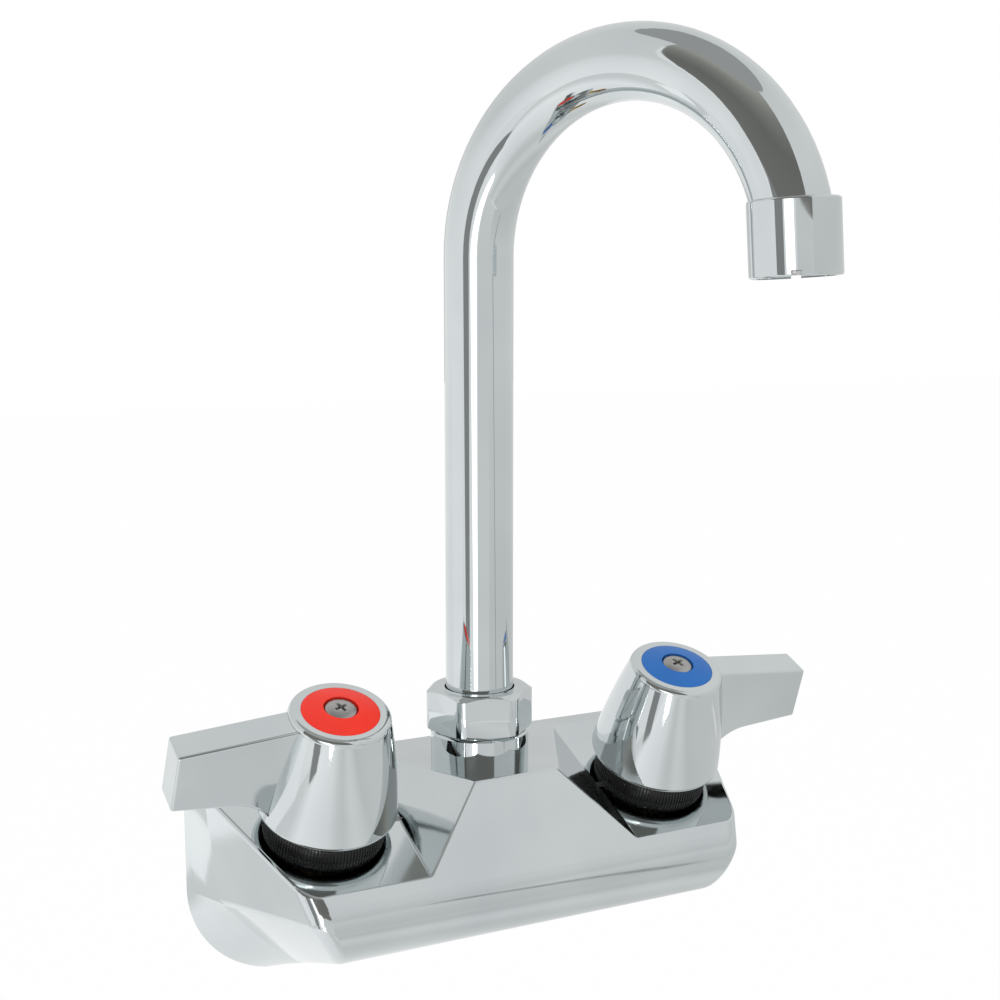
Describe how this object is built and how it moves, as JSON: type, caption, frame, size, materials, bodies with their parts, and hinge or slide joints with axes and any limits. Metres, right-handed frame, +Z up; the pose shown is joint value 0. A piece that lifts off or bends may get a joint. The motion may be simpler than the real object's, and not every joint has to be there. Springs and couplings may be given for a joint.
{
  "type": "gooseneck faucet",
  "caption": "Wall-mounted gooseneck faucet: chromed body with tilted valve seats, quarter-turn lever handles with coloured index discs, and a bent-tube spout that swivels in a hexagon nut.",
  "frame": {"origin": "on the wall face, midway between the inlet axes", "axes": "+Z up along the spout's upright, +Y into the wall, -Y towards the user, +X to the user's right"},
  "size_m": [0.1892, 0.158, 0.258],
  "materials": {
    "chrome_casting": "polished chrome plate on a casting",
    "chrome_turned": "polished chrome plate on turned brass",
    "chrome_tube": "polished chrome plate on bent tube",
    "chrome_handle": "polished chrome plate on a cast handle",
    "red_plastic": "satin moulded red",
    "blue_plastic": "satin moulded blue",
    "screw_steel": "plain steel screw",
    "black_plastic": "ribbed black moulding",
    "white_plastic": "natural moulding",
    "black_rubber": "moulded rubber",
    "brass": "turned brass",
    "plated_steel": "plated sheet steel",
    "ceramic": "ground ceramic"
  },
  "bodies": {
    "body": {"faucet_body": "chrome_casting", "spout_collar": "chrome_turned", "collar_gasket": "black_rubber", "spout_nut": "chrome_turned", "thrust_washer": "white_plastic", "spout_orings": "black_rubber", "inlet_shank_hot": "brass", "inlet_shank_cold": "brass", "mounting_washer_hot": "plated_steel", "mounting_washer_cold": "plated_steel", "mounting_nut_hot": "brass", "mounting_nut_cold": "brass", "cartridge_body_hot": "brass", "cartridge_body_cold": "brass", "cartridge_oring_hot": "black_rubber", "cartridge_oring_cold": "black_rubber", "bonnet_nut_hot": "brass", "bonnet_nut_cold": "brass", "base_ring_hot": "black_plastic", "base_ring_cold": "black_plastic", "seat_gasket_hot": "black_rubber", "seat_gasket_cold": "black_rubber", "lower_disc_hot": "ceramic", "lower_disc_cold": "ceramic"},
    "spout": {"spout_tube": "chrome_tube", "spout_bushing": "white_plastic", "aerator_housing": "chrome_turned", "aerator_washer": "black_rubber", "aerator_insert": "white_plastic", "aerator_screen": "plated_steel"},
    "hot_handle": {"lever_handle_hot": "chrome_handle", "index_disc_hot": "red_plastic", "handle_screw_hot": "screw_steel", "valve_stem_hot": "brass", "upper_disc_hot": "ceramic", "stem_oring_hot": "black_rubber"},
    "cold_handle": {"lever_handle_cold": "chrome_handle", "index_disc_cold": "blue_plastic", "handle_screw_cold": "screw_steel", "valve_stem_cold": "brass", "upper_disc_cold": "ceramic", "stem_oring_cold": "black_rubber"}
  },
  "joints": [
    {"name": "spout_swivel", "type": "hinge", "parent": "body", "child": "spout", "pos_m": [0, -0.02, 0.04], "axis": [0, 0, 1], "range_deg": [-115.2, 64.8]},
    {"name": "hot_handle_turn", "type": "hinge", "parent": "body", "child": "hot_handle", "pos_m": [-0.0508, -0.03035, 0.0213], "axis": [0, -0.3665, 0.9304], "range_deg": [0, 90]},
    {"name": "cold_handle_turn", "type": "hinge", "parent": "body", "child": "cold_handle", "pos_m": [0.0508, -0.03035, 0.0213], "axis": [0, -0.3665, 0.9304], "range_deg": [-90, 0]}
  ]
}
